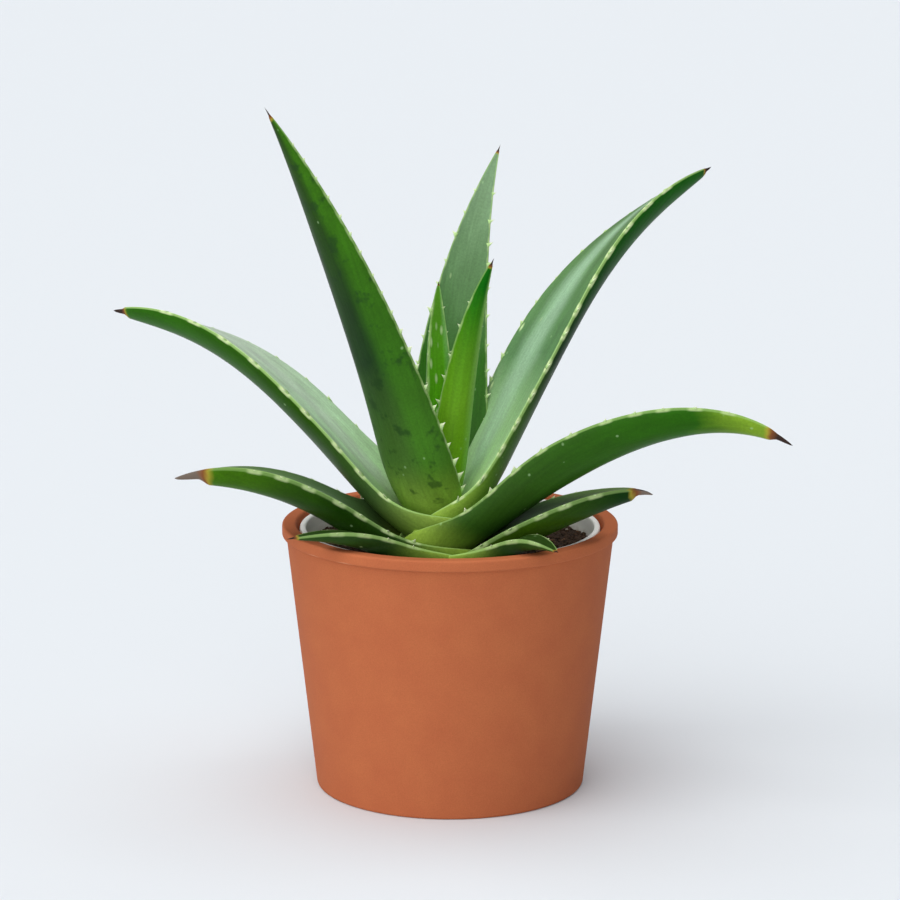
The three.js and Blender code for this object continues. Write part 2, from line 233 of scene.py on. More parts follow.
def terracottaMaterial():
    # Terracotta: low-fired red clay, unglazed. It is matte, with a fine grain, faint cloudy patches
    # where the clay fired paler, and a chalky worn line where an edge is rubbed.
    material, add = newMaterial("unglazed terracotta")
    place = add("ShaderNodeTexCoord").outputs["Object"]
    cloud = add("ShaderNodeTexNoise", {"Vector": place, "Scale": 1 / (coverPot["mottle"] * mm), "Detail": 4})
    grain = add("ShaderNodeTexNoise", {"Vector": place, "Scale": 1 / (coverPot["grain"] * mm), "Detail": 3})
    tone = add("ShaderNodeValToRGB", [cloud])
    setStops(tone, [(0.3, coverPot["darkClay"]), (0.7, coverPot["paleClay"])])
    clay = add(mix, {0: 0.22, 6: linearColor(coverPot["clay"]), 7: tone}, data_type="RGBA").outputs[2]
    speck = add(mapRange, [grain, 0.35, 0.65, 0.93, 1.04])
    speckled = add(vectorMaths, {0: clay, "Scale": speck}, operation="SCALE")
    edge = add("ShaderNodeNewGeometry").outputs["Pointiness"]
    worn = add(mapRange, [edge, 0.52, 0.6, 0, 0.35])
    color = add(mix, {0: worn, 6: speckled, 7: linearColor(coverPot["worn"])}, data_type="RGBA")
    bump = add("ShaderNodeBump", {"Height": grain, "Strength": 0.25, "Distance": 0.12 * mm})
    rough = add(mapRange, [cloud, 0, 1, 0.72, 0.9])
    add("ShaderNodeOutputMaterial", {"Surface": add("ShaderNodeBsdfPrincipled", {
        "Base Color": color.outputs[2], "Roughness": rough, "Normal": bump, "Specular IOR Level": 0.15})})
    return material


def coverPotInside(z):  # the inside radius at a height
    slope = (coverPot["bodyTop"] - coverPot["base"]) / (coverPot["height"] - coverPot["lip"])
    return coverPot["base"] + slope * z - coverPot["wall"]


def coverPotMesh():
    height, base, bodyTop, floorTop = [coverPot[key] for key in ("height", "base", "bodyTop", "floor")]
    rim, ease = coverPot["rim"], coverPot["lipEase"]
    lipFoot = height - coverPot["lip"]
    sides = roundedProfile([
        (base - coverPot["footRing"], 0), (base, 0), (bodyTop, lipFoot - ease), (bodyTop + ease / 2, lipFoot),
        (rim, lipFoot), (rim, height), (coverPotInside(height), height), (coverPotInside(floorTop), floorTop),
        (coverPot["floorRing"], floorTop)], coverPot["corner"], 6)
    return turnedMesh("coverPot", [(0, 0)] + sides + [(0, floorTop)], coverPot["segments"])


makePiece("coverPot", dressed(coverPotMesh(), terracottaMaterial()), "cover_pot")
print("cover pot turned")


# the white growing pot

growingPot = {
    "below": 1.4, "wall": 1.8, "floor": 2.2, "rimHeight": 6, "rimWall": 2.8, "rimPlay": 0.7, "wallPlay": 2,
    "corner": 1.2, "segments": 144, "holes": 6, "holeRadius": 4.5, "holeCircle": 32, "gap": 0.3,
    "white": "#faf8f3", "dust": "#ab9a86", "dustFrom": 116, "dustFull": 108.5, "smudge": 6,
}


def growingPotInside(z):
    return coverPotInside(z) - growingPot["wallPlay"] - growingPot["wall"]


def whitePlasticMaterial():
    # Polypropylene, injection moulded in white: an even satin skin, with soil dust low inside the rim.
    material, add = newMaterial("white moulded polypropylene")
    place = add("ShaderNodeTexCoord").outputs["Object"]
    height = add("ShaderNodeSeparateXYZ", [place]).outputs["Z"]
    smudge = add("ShaderNodeTexNoise", {"Vector": place, "Scale": 1 / (growingPot["smudge"] * mm),
                                        "Detail": 5})
    low = add(mapRange, [height, growingPot["dustFrom"] * mm, growingPot["dustFull"] * mm])
    dust = add(maths, [low, smudge], operation="MULTIPLY")
    amount = add(mapRange, [dust, 0.28, 0.6, 0, 0.6])
    color = add(mix, {0: amount, 6: linearColor(growingPot["white"]), 7: linearColor(growingPot["dust"])},
                data_type="RGBA")
    rough = add(mapRange, [smudge, 0, 1, 0.3, 0.45])
    bump = add("ShaderNodeBump", {"Height": smudge, "Strength": 0.1, "Distance": 0.1 * mm})
    add("ShaderNodeOutputMaterial", {"Surface": add("ShaderNodeBsdfPrincipled", {
        "Base Color": color.outputs[2], "Roughness": rough, "Normal": bump})})
    return material


def growingPotMesh():
    wall, floorThick, holeRadius = growingPot["wall"], growingPot["floor"], growingPot["holeRadius"] * mm
    bottom = coverPot["floor"] + growingPot["gap"]
    floorTop = bottom + floorThick
    top = coverPot["height"] - growingPot["below"]
    rimBottom = top - growingPot["rimHeight"]
    rimOuter = coverPotInside(rimBottom) - growingPot["rimPlay"]
    ring = coverPot["floorRing"]
    sides = roundedProfile([
        (ring, bottom), (growingPotInside(bottom) + wall, bottom),
        (growingPotInside(rimBottom) + wall, rimBottom), (rimOuter, rimBottom), (rimOuter, top),
        (rimOuter - growingPot["rimWall"], top),
        (growingPotInside(rimBottom), rimBottom), (growingPotInside(floorTop), floorTop), (ring, floorTop)],
        growingPot["corner"], 5)
    profile = [(0, bottom)] + sides + [(0, floorTop)]
    shell = placeObject("shell", turnedMesh("growingPot", profile, growingPot["segments"]))
    drill = bmesh.new()
    for i in range(growingPot["holes"]):
        angle = 2 * math.pi * i / growingPot["holes"]
        made = bmesh.ops.create_cone(drill, cap_ends=True, segments=24, radius1=holeRadius,
                                     radius2=holeRadius, depth=5 * floorThick * mm)
        place = Vector((math.cos(angle), math.sin(angle), 0)) * growingPot["holeCircle"] * mm
        bmesh.ops.translate(drill, verts=made["verts"],
                            vec=place + Vector((0, 0, (bottom + floorThick / 2) * mm)))
    drillMesh = bpy.data.meshes.new("drill")
    drill.to_mesh(drillMesh)
    drill.free()
    driller = placeObject("drill", drillMesh)
    cut = shell.modifiers.new("drain holes", "BOOLEAN")
    cut.operation = "DIFFERENCE"
    cut.solver = "EXACT"
    cut.object = driller
    mesh = bakedMesh(shell, "growingPot")
    for helper in (shell, driller):
        bpy.data.objects.remove(helper)
    return mesh


makePiece("growingPot", dressed(growingPotMesh(), whitePlasticMaterial()), "inner_pot")
print("growing pot turned")


# the potting soil: a crumbly bed, with clods, bark and perlite strewn over it

rosette = Vector((-4, -13, 0)) * mm  # the stem's axis
soil = {
    "top": 109.5, "neckTop": 95.5, "neckRadius": 31, "hollowRadius": 50, "stemHole": 15.9, "holeBottom": 71.6,
    "bump": 1.1, "bumpSize": 5, "segments": 180, "rings": 70,
    "name": "damp peat compost", "dark": "#1f1610", "light": "#4a3424", "grain": 1.6, "rough": 0.95,
}
strewn = {
    "clods": {"size": 2.1, "density": 170000, "flat": 0.75, "seed": 3, "name": "crumbs of peat compost",
              "dark": "#1d140e", "light": "#5a4331", "grain": 1.2, "rough": 0.95},
    "bark": {"size": 3.6, "density": 17000, "flat": 0.35, "seed": 5, "name": "composted pine bark",
             "dark": "#33231a", "light": "#7d5a3e", "grain": 2.2, "rough": 0.85},
    "perlite": {"size": 2, "density": 5200, "flat": 0.85, "seed": 8, "name": "expanded perlite",
                "dark": "#a39c90", "light": "#e4dfd3", "grain": 0.9, "rough": 0.9},
}
lumpMaking = {"shapes": 4, "subdivisions": 1, "kneading": 1.1, "tilt": 0.5, "least": 0.35, "most": 1.25}


def soilHeight(x, y):  # in mm, from a place in mm
    fromStem = math.hypot(x - rosette.x / mm, y - rosette.y / mm)
    t = min(1, max(0, (fromStem - soil["neckRadius"]) / (soil["hollowRadius"] - soil["neckRadius"])))
    rise = t * t * (3 - 2 * t)
    lumps = noise.fractal(Vector((x, y, 0)) / soil["bumpSize"], 0.9, 2.1, 4)
    return soil["neckTop"] + rise * (soil["top"] - soil["neckTop"]) + soil["bump"] * lumps


def soilMaterial(look):
    # Peat and bark compost: nearly black where it is damp, brown where a crumb has dried, and fully matte.
    material, add = newMaterial(look["name"])
    place = add("ShaderNodeTexCoord").outputs["Object"]
    crumb = add("ShaderNodeTexNoise", {"Vector": place, "Scale": 1 / (look["grain"] * mm), "Detail": 6,
                                       "Roughness": 0.65})
    tone = add("ShaderNodeValToRGB", [crumb])
    setStops(tone, [(0.36, look["dark"]), (0.7, look["light"])])
    bump = add("ShaderNodeBump", {"Height": crumb, "Strength": 0.9, "Distance": 0.5 * mm})
    add("ShaderNodeOutputMaterial", {"Surface": add("ShaderNodeBsdfPrincipled", {
        "Base Color": tone, "Roughness": look["rough"], "Normal": bump, "Specular IOR Level": 0.25})})
    return material


def soilMesh():
    bottom = coverPot["floor"] + growingPot["gap"] * 2 + growingPot["floor"]
    outer = growingPotInside(soil["top"]) - growingPot["gap"]
    foot = growingPotInside(bottom) - growingPot["gap"]
    segments, rings = soil["segments"], soil["rings"]
    build = bmesh.new()
    loops = []
    for ring in range(rings + 1):
        loop = []
        for i in range(segments):
            angle = 2 * math.pi * i / segments
            edge = Vector((outer * math.cos(angle), outer * math.sin(angle), 0))
            hole = rosette / mm + soil["stemHole"] * Vector((math.cos(angle), math.sin(angle), 0))
            spot = hole.lerp(edge, ring / rings)
            loop.append(build.verts.new((spot.x * mm, spot.y * mm, soilHeight(spot.x, spot.y) * mm)))
        loops.append(loop)
    floorLoop = ringOf(build, foot, bottom, segments)
    holeLoop = [build.verts.new((v.co.x, v.co.y, soil["holeBottom"] * mm)) for v in loops[0]]
    joinRings(build, [holeLoop] + loops + [floorLoop], segments)
    build.faces.new(list(reversed(holeLoop)))
    build.faces.new(floorLoop)
    return smoothMesh("soilBed", build)


def strewTree():  # lumps strewn over the upward faces of a bed
    tree, add, given = newTree("strewn lumps", {
        "Geometry": ["Bed"], "Float": ["Size", "Density", "Flatness"], "Int": ["Seed"],
        "Material": ["Material"],
    }, "Lumps")
    facing = add("ShaderNodeSeparateXYZ", [add("GeometryNodeInputNormal")]).outputs["Z"]
    level = add(maths, [facing, 0.3], operation="GREATER_THAN")
    points = add("GeometryNodeDistributePointsOnFaces", {
        "Mesh": given["Bed"], "Selection": level, "Density": given["Density"], "Seed": given["Seed"]})
    kinds = add("GeometryNodeGeometryToInstance")
    for i in range(lumpMaking["shapes"]):
        ball = add("GeometryNodeMeshIcoSphere", {"Radius": 0.5, "Subdivisions": lumpMaking["subdivisions"]})
        knead = add("ShaderNodeTexNoise", {"Scale": 1.4, "W": 3.1 * i + 1}, noise_dimensions="4D")
        offset = add(vectorMaths, [knead.outputs["Color"], (0.5, 0.5, 0.5)], operation="SUBTRACT")
        push = add(vectorMaths, {0: offset, "Scale": lumpMaking["kneading"]}, operation="SCALE")
        lump = add("GeometryNodeSetPosition", {"Geometry": ball, "Offset": push})
        tree.links.new(lump.outputs[0], kinds.inputs[0])
    tilt, least, most = lumpMaking["tilt"], lumpMaking["least"], lumpMaking["most"]
    turn = add("FunctionNodeRandomValue", {"Min": (-tilt, -tilt, -3.2), "Max": (tilt, tilt, 3.2),
                                           "Seed": given["Seed"]}, data_type="FLOAT_VECTOR")
    girth = add("FunctionNodeRandomValue", {2: least, 3: most, "Seed": given["Seed"]}, data_type="FLOAT")
    size = add(maths, [given["Size"], girth.outputs[1]], operation="MULTIPLY")
    tall = add(maths, [size, given["Flatness"]], operation="MULTIPLY")
    scale = add("ShaderNodeCombineXYZ", [size, tall, tall])
    placed = add("GeometryNodeInstanceOnPoints", {"Points": points, "Instance": kinds, "Pick Instance": True,
                                                  "Rotation": turn, "Scale": scale})
    real = add("GeometryNodeRealizeInstances", [placed])
    dressing = add("GeometryNodeSetMaterial", {"Geometry": real, "Material": given["Material"]})
    add("NodeGroupOutput", [dressing])
    return tree


bedPiece = makePiece("soilBed", dressed(soilMesh(), soilMaterial(soil)), "soil")
lumpTree = strewTree()
for kind, kindLook in strewn.items():
    bed = placeObject("bed", bedPiece.data.copy())
    material = soilMaterial(kindLook)
    modifier = bed.modifiers.new("strew", "NODES")
    modifier.node_group = lumpTree
    setInputs(modifier, {
        "Size": kindLook["size"] * mm, "Density": float(kindLook["density"]), "Flatness": kindLook["flat"],
        "Seed": kindLook["seed"], "Material": material})
    makePiece("soil" + kind.capitalize(), dressed(bakedMesh(bed, kind), material))
    bpy.data.objects.remove(bed)
print("soil laid")


# the stem, short and stout, ringed with the scars of lost leaves

stem = {
    "profile": [(0, 72), (9, 73.5), (12.5, 80), (15, 91), (15.6, 100), (14, 104.5), (11.6, 108), (7.6, 112),
                (4.6, 116.5), (2.8, 120), (0, 125)],
    "corner": 4, "segments": 64, "scarSpacing": 2.6, "green": "#8b9457", "brown": "#6d5236",
}


def stemMaterial():
    # The stem is soft and green under old leaf bases that dried to brown rings.
    material, add = newMaterial("aloe stem with leaf scars")
    place = add("ShaderNodeTexCoord").outputs["Object"]
    wave = add("ShaderNodeTexWave", {"Vector": place, "Scale": 1 / (math.pi * stem["scarSpacing"] * mm),
                                     "Distortion": 2.5, "Detail": 3}, bands_direction="Z")
    color = add(mix, {0: wave, 6: linearColor(stem["brown"]), 7: linearColor(stem["green"])},
                data_type="RGBA")
    bump = add("ShaderNodeBump", {"Height": wave, "Strength": 0.8, "Distance": 0.6 * mm})
    add("ShaderNodeOutputMaterial", {"Surface": add("ShaderNodeBsdfPrincipled", {
        "Base Color": color.outputs[2], "Roughness": 0.7, "Normal": bump})})
    return material


stemMesh = turnedMesh("stem", roundedProfile(stem["profile"], stem["corner"]), stem["segments"])
for vertex in stemMesh.vertices:
    vertex.co += rosette
makePiece("stem", dressed(stemMesh, stemMaterial()), "stem")
print("stem grown")


# the leaves: a cubic path up the middle of the upper face carries a crescent section that clasps the stem at
# its root and flattens to a channelled, round-backed blade

leafMaking = {
    "rings": 150, "around": 65, "pathSteps": 64, "edge": 0.5, "rollTo": 0.45, "rootThin": 0.7,
    "endBend": 0.05, "belly": 1.4, "flankTurn": 5, "thickTaper": 1.1, "edgeFadeFrom": 0.7, "shutBy": 0.004,
    "dryNeck": 0.65, "dryWidth": 0.58, "weld": 0.004, "seed": 11,
}
toothMaking = {
    "height": 3.3, "radius": 2, "sunk": 1.3, "lean": 0.5, "flat": 0.42, "sides": 10, "rings": 4,
    "foot": 1.15, "neck": 0.62, "hook": 0.5, "shift": 0.16, "least": 0.75, "most": 1.2, "dwindle": 0.55,
    "clearTip": 8, "fullWidth": 24, "green": "#b4d98a", "cream": "#eef2cf", "grain": 0.5,
}


def leafTree():
    tree, add, given = newTree("aloe leaf", {
        "Vector": ["Root", "Lower Handle", "Upper Handle", "Tip", "Width Direction"],
        "Float": ["Half Width", "Thickness", "Root Radius", "Wrap", "Sheath", "Bend", "Roll", "Tip Roll",
                  "Taper", "Bluntness", "Dry", "Edge", "Tooth Spacing", "Tooth Height", "Tooth Radius",
                  "Tooth Size"],
        "Int": ["Rings", "Around", "Seed"],
        "Material": ["Upper Skin Material", "Lower Skin Material", "Tooth Material"],
    }, "Leaf")

    # a flat sheet, whose Y runs up the leaf and whose X runs over the upper face and back under the lower one
    sheet = add("GeometryNodeMeshGrid", {"Size X": 1, "Size Y": 1, "Vertices X": given["Around"],
                                         "Vertices Y": given["Rings"]})
    flat = add("ShaderNodeSeparateXYZ", [add("GeometryNodeInputPosition")])
    share = add(maths, [flat.outputs["Y"], 0.5], operation="ADD")
    phase = add(maths, [flat.outputs["X"], 2 * math.pi, math.pi], operation="MULTIPLY_ADD")
    cosine = add(maths, [phase], operation="COSINE")
    side = add(maths, [cosine, -1], operation="MULTIPLY")  # -1 and 1 at the edges
    over = add(maths, [phase], operation="SINE")  # above 0 on the upper face

    # the path and its directions
    path = add("GeometryNodeCurvePrimitiveBezierSegment", {
        "Resolution": leafMaking["pathSteps"], "Start": given["Root"], "Start Handle": given["Lower Handle"],
        "End Handle": given["Upper Handle"], "End": given["Tip"]})
    length = add("GeometryNodeCurveLength", [path])
    spot = add("GeometryNodeSampleCurve", {"Curves": path, "Factor": share}, mode="FACTOR")
    along = spot.outputs["Tangent"]
    lengthwise = add(vectorMaths, [given["Width Direction"], along], operation="DOT_PRODUCT").outputs["Value"]
    excess = add(vectorMaths, {0: along, "Scale": lengthwise}, operation="SCALE")
    square = add(vectorMaths, [given["Width Direction"], excess], operation="SUBTRACT")
    level = add(vectorMaths, [square], operation="NORMALIZE")
    rollShare = add(mapRange, [share, 0, leafMaking["rollTo"]], interpolation_type="SMOOTHSTEP")
    tipShare = add(mapRange, [share, leafMaking["rollTo"], 1], interpolation_type="SMOOTHSTEP")
    tipRoll = add(maths, [tipShare, given["Tip Roll"]], operation="MULTIPLY")
    roll = add(maths, [rollShare, given["Roll"], tipRoll], operation="MULTIPLY_ADD")
    wide = add("ShaderNodeVectorRotate", {"Vector": level, "Axis": along, "Angle": roll})
    inward = add(vectorMaths, [along, wide], operation="CROSS_PRODUCT")

    # the section's size: hug is 1 at the root and 0 on the free blade
    distance = add(maths, [share, length], operation="MULTIPLY")
    sheaths = add(maths, [distance, given["Sheath"]], operation="DIVIDE")
    sheathsSquared = add(maths, [sheaths, sheaths], operation="MULTIPLY")
    minusSquared = add(maths, [sheathsSquared, -1], operation="MULTIPLY")
    hug = add(maths, [minusSquared], operation="EXPONENT")
    left = add(maths, [1, share], operation="SUBTRACT")
    bladeAngle = add(maths, [given["Bend"], left, leafMaking["endBend"]], operation="MULTIPLY_ADD")
    angle = add(mix, {0: hug, 2: bladeAngle, 3: given["Wrap"]})
    narrowing = add(maths, [share, given["Taper"]], operation="POWER")
    sharpness = add(maths, [1, narrowing], operation="SUBTRACT")
    fullness = add(maths, [sharpness, given["Bluntness"]], operation="POWER")
    bladeWidth = add(maths, [given["Half Width"], fullness], operation="MULTIPLY")
    rootWidth = add(maths, [given["Root Radius"], given["Wrap"]], operation="MULTIPLY")
    plumpWidth = add(mix, {0: hug, 2: bladeWidth, 3: rootWidth})
    fromTip = add(maths, [left, length], operation="MULTIPLY")
    dryShare = add(maths, [fromTip, given["Dry"]], operation="DIVIDE")
    shrink = add(mapRange, [dryShare, 1, leafMaking["dryNeck"], 1, leafMaking["dryWidth"]],
                 interpolation_type="SMOOTHSTEP")
    halfWidth = add(maths, [plumpWidth, shrink], operation="MULTIPLY")
    thickTaper = add(maths, [given["Taper"], leafMaking["thickTaper"]], operation="MULTIPLY")
    thinning = add(maths, [share, thickTaper], operation="POWER")
    thickness = add(maths, [1, thinning], operation="SUBTRACT")
    thickness = add(maths, [thickness, given["Bluntness"]], operation="POWER")
    rootThin = add(maths, [hug, -leafMaking["rootThin"], 1], operation="MULTIPLY_ADD")
    for factor in (given["Thickness"], shrink, rootThin):
        thickness = add(maths, [thickness, factor], operation="MULTIPLY")
    edgeFade = add(mapRange, [share, leafMaking["edgeFadeFrom"], 1, 1, 0])
    closed = add(mapRange, [share, 0, leafMaking["shutBy"]])  # no depth at the very root
    under = add(maths, [over, -1], operation="MULTIPLY")
    underOnly = add(maths, [under, 0], operation="MAXIMUM")
    rounded = add(maths, [underOnly, leafMaking["belly"]], operation="POWER")
    belly = add(maths, [rounded, thickness], operation="MULTIPLY")
    steep = add(maths, [under, leafMaking["flankTurn"]], operation="MULTIPLY")
    faceSide = add(maths, [steep], operation="TANH")
    edgeHalf = add(maths, [given["Edge"], edgeFade], operation="MULTIPLY")
    skinDepth = add(maths, [faceSide, edgeHalf, belly], operation="MULTIPLY_ADD")
    depth = add(maths, [skinDepth, closed], operation="MULTIPLY")

    # every point's place
    turn = add(maths, [side, angle], operation="MULTIPLY")
    radius = add(maths, [halfWidth, angle], operation="DIVIDE")
    reach = add(maths, [radius, depth], operation="ADD")
    sine = add(maths, [turn], operation="SINE")
    turnCosine = add(maths, [turn], operation="COSINE")
    sideways = add(maths, [reach, sine], operation="MULTIPLY")
    drop = add(maths, [reach, turnCosine], operation="MULTIPLY")
    lift = add(maths, [radius, drop], operation="SUBTRACT")
    acrossPart = add(vectorMaths, {0: wide, "Scale": sideways}, operation="SCALE")
    inwardPart = add(vectorMaths, {0: inward, "Scale": lift}, operation="SCALE")
    place = add(vectorMaths, [spot.outputs["Position"], acrossPart], operation="ADD")
    place = add(vectorMaths, [place, inwardPart], operation="ADD")

    # what the skin and the teeth read later
    acrossMetres = add(maths, [side, halfWidth], operation="MULTIPLY")
    lower = add(mapRange, [under, -0.15, 0.15])
    leafPlace = add("ShaderNodeCombineXYZ", {"X": acrossMetres, "Y": distance, "Z": lower})
    leafShare = add("ShaderNodeCombineXYZ", {"X": share, "Y": side, "Z": fromTip})
    outX = add(maths, [side, turnCosine], operation="MULTIPLY")
    outZ = add(maths, [side, sine], operation="MULTIPLY")
    outWide = add(vectorMaths, {0: wide, "Scale": outX}, operation="SCALE")
    outInward = add(vectorMaths, {0: inward, "Scale": outZ}, operation="SCALE")
    outward = add(vectorMaths, [outWide, outInward], operation="ADD")
    leftColumn = add(maths, [flat.outputs["X"], -0.4999], operation="LESS_THAN")
    middleColumn = add(maths, [flat.outputs["X"], 0, 0.0001], operation="COMPARE")
    isEdge = add(maths, [leftColumn, middleColumn], operation="MAXIMUM")
    inset = add(maths, [add(maths, [side], operation="ABSOLUTE"), -1, 1], operation="MULTIPLY_ADD")
    fromMargin = add(maths, [inset, halfWidth], operation="MULTIPLY")
    vectors = {"leafPlace": leafPlace, "leafShare": leafShare, "outward": outward, "tipward": along}
    numbers = {"leafEdge": isEdge, "leafMargin": fromMargin}
    blade = sheet
    for kind, stored in (("FLOAT_VECTOR", vectors), ("FLOAT", numbers)):
        for name, value in stored.items():
            blade = add("GeometryNodeStoreNamedAttribute", {"Geometry": blade, "Name": name, "Value": value},
                        data_type=kind, domain="POINT")
    blade = add("GeometryNodeSetPosition", {"Geometry": blade, "Position": place})
    solid = add("GeometryNodeMergeByDistance", {"Geometry": blade, "Distance": leafMaking["weld"] * mm})
    smooth = add("GeometryNodeSetShadeSmooth", {"Geometry": solid})

    # teeth along both edges
    readEdge = add("GeometryNodeInputNamedAttribute", {"Name": "leafEdge"}, data_type="FLOAT")
    onEdge = add(maths, [readEdge, 0.5], operation="GREATER_THAN")
    edges = add("GeometryNodeMeshToCurve", {"Mesh": blade, "Selection": onEdge})
    points = add("GeometryNodeCurveToPoints", {"Curve": edges, "Length": given["Tooth Spacing"]},
                 mode="LENGTH")
    readShare, readPlace, readOut, readTip = [
        add("GeometryNodeInputNamedAttribute", {"Name": name}, data_type="FLOAT_VECTOR")
        for name in ("leafShare", "leafPlace", "outward", "tipward")]
    shares = add("ShaderNodeSeparateXYZ", [readShare])
    places = add("ShaderNodeSeparateXYZ", [readPlace])
    shift = add("FunctionNodeRandomValue", {2: -toothMaking["shift"], 3: toothMaking["shift"],
                                            "Seed": given["Seed"]}, data_type="FLOAT")
    slide = add(maths, [shift.outputs[1], given["Tooth Spacing"]], operation="MULTIPLY")
    slideVector = add(vectorMaths, {0: readTip, "Scale": slide}, operation="SCALE")
    moved = add("GeometryNodeSetPosition", {"Geometry": points, "Offset": slideVector})
    pastSheath = add(maths, [places.outputs["Y"], given["Sheath"]], operation="GREATER_THAN")
    greenEnd = add(maths, [given["Dry"], toothMaking["clearTip"] * mm], operation="ADD")
    beforeTip = add(maths, [shares.outputs["Z"], greenEnd], operation="GREATER_THAN")
    grows = add(maths, [pastSheath, beforeTip], operation="MULTIPLY")
    grown = add("GeometryNodeSeparateGeometry", [moved, grows], domain="POINT")

    # how far a place on the skin is from the nearest tooth, then a material on each face
    nearest = add("GeometryNodeProximity", [grown.outputs[0]], target_element="POINTS")
    skin = add("GeometryNodeStoreNamedAttribute", {
        "Geometry": smooth, "Name": "leafTooth", "Value": nearest.outputs["Distance"]},
        data_type="FLOAT", domain="POINT")
    skin = add("GeometryNodeSetMaterial", {"Geometry": skin, "Material": given["Upper Skin Material"]})
    isUnder = add(maths, [places.outputs["Z"], 0.5], operation="GREATER_THAN")
    skin = add("GeometryNodeSetMaterial", {"Geometry": skin, "Selection": isUnder,
                                           "Material": given["Lower Skin Material"]})

    # a tooth: a flat thorn with hollow flanks, hooked to the tip
    lean = add(vectorMaths, {0: readTip, "Scale": toothMaking["lean"]}, operation="SCALE")
    pointing = add(vectorMaths, [readOut, lean], operation="ADD")
    facing = add("FunctionNodeAxesToRotation", {"Primary Axis": pointing, "Secondary Axis": readTip},
                 primary_axis="Z", secondary_axis="X")
    spread = add("FunctionNodeRandomValue", {2: toothMaking["least"], 3: toothMaking["most"],
                                             "Seed": given["Seed"]}, data_type="FLOAT")
    smaller = add(maths, [shares.outputs["X"], -toothMaking["dwindle"], 1], operation="MULTIPLY_ADD")
    size = add(maths, [spread.outputs[1], smaller], operation="MULTIPLY")
    size = add(maths, [size, given["Tooth Size"]], operation="MULTIPLY")
    cone = add("GeometryNodeMeshCone", {
        "Vertices": toothMaking["sides"], "Side Segments": toothMaking["rings"], "Radius Top": 0,
        "Radius Bottom": given["Tooth Radius"], "Depth": given["Tooth Height"]})
    conePlace = add("ShaderNodeSeparateXYZ", [add("GeometryNodeInputPosition")])
    up = add(maths, [conePlace.outputs["Z"], given["Tooth Height"]], operation="DIVIDE")
    waist = add(mapRange, [up, 0, 1, toothMaking["foot"], toothMaking["neck"]])
    hook = add(maths, [up, up], operation="MULTIPLY")
    hookBy = add(maths, [hook, toothMaking["hook"] * mm], operation="MULTIPLY")
    thornX = add(maths, [conePlace.outputs["X"], waist, hookBy], operation="MULTIPLY_ADD")
    thornY = add(maths, [conePlace.outputs["Y"], toothMaking["flat"]], operation="MULTIPLY")
    thornZ = add(maths, [conePlace.outputs["Z"], -toothMaking["sunk"] * mm], operation="ADD")
    thornPlace = add("ShaderNodeCombineXYZ", {"X": thornX, "Y": thornY, "Z": thornZ})
    kept = add("GeometryNodeStoreNamedAttribute", {"Geometry": cone, "Name": "toothShare", "Value": up},
               data_type="FLOAT", domain="POINT")
    thorn = add("GeometryNodeSetPosition", {"Geometry": kept, "Position": thornPlace})
    thornSmooth = add("GeometryNodeSetShadeSmooth", {"Geometry": thorn})
    teeth = add("GeometryNodeInstanceOnPoints", {"Points": grown.outputs[0], "Instance": thornSmooth,
                                                 "Rotation": facing, "Scale": size})
    realTeeth = add("GeometryNodeRealizeInstances", [teeth])
    horny = add("GeometryNodeSetMaterial", {"Geometry": realTeeth, "Material": given["Tooth Material"]})
    joined = add("GeometryNodeJoinGeometry")
    for part in (horny, skin):
        tree.links.new(part.outputs[0], joined.inputs[0])
    add("NodeGroupOutput", [add("GeometryNodeRealizeInstances", [joined])])
    return tree


# the leaves' skin, with its patterns' sizes in mm, across and along the leaf where there are two
skinMaking = {
    "streak": (1.1, 45), "streaked": 0.09, "cloud": (7, 22), "wander": 0.14, "pore": 0.9, "pored": 0.1,
    "bruise": (8, 11), "bruiseEdge": (0.555, 0.63), "bruiseTone": "#1b3a16", "baseFull": 8,
    "patchFrom": 4.2, "patchFull": 2, "ragged": 6, "rust": "#84502c", "yellow": "#a99a36",
}
skinMarks = {
    "spots": {"size": (3.2, 9), "random": 0.85, "edge": 0.34, "core": 0.18, "amount": 1, "tone": "#c9e3a4"},
    "specks": {"size": (2.6, 4), "random": 1, "edge": 0.22, "core": 0.1, "amount": 0.4, "tone": "#a9cf94"},
}


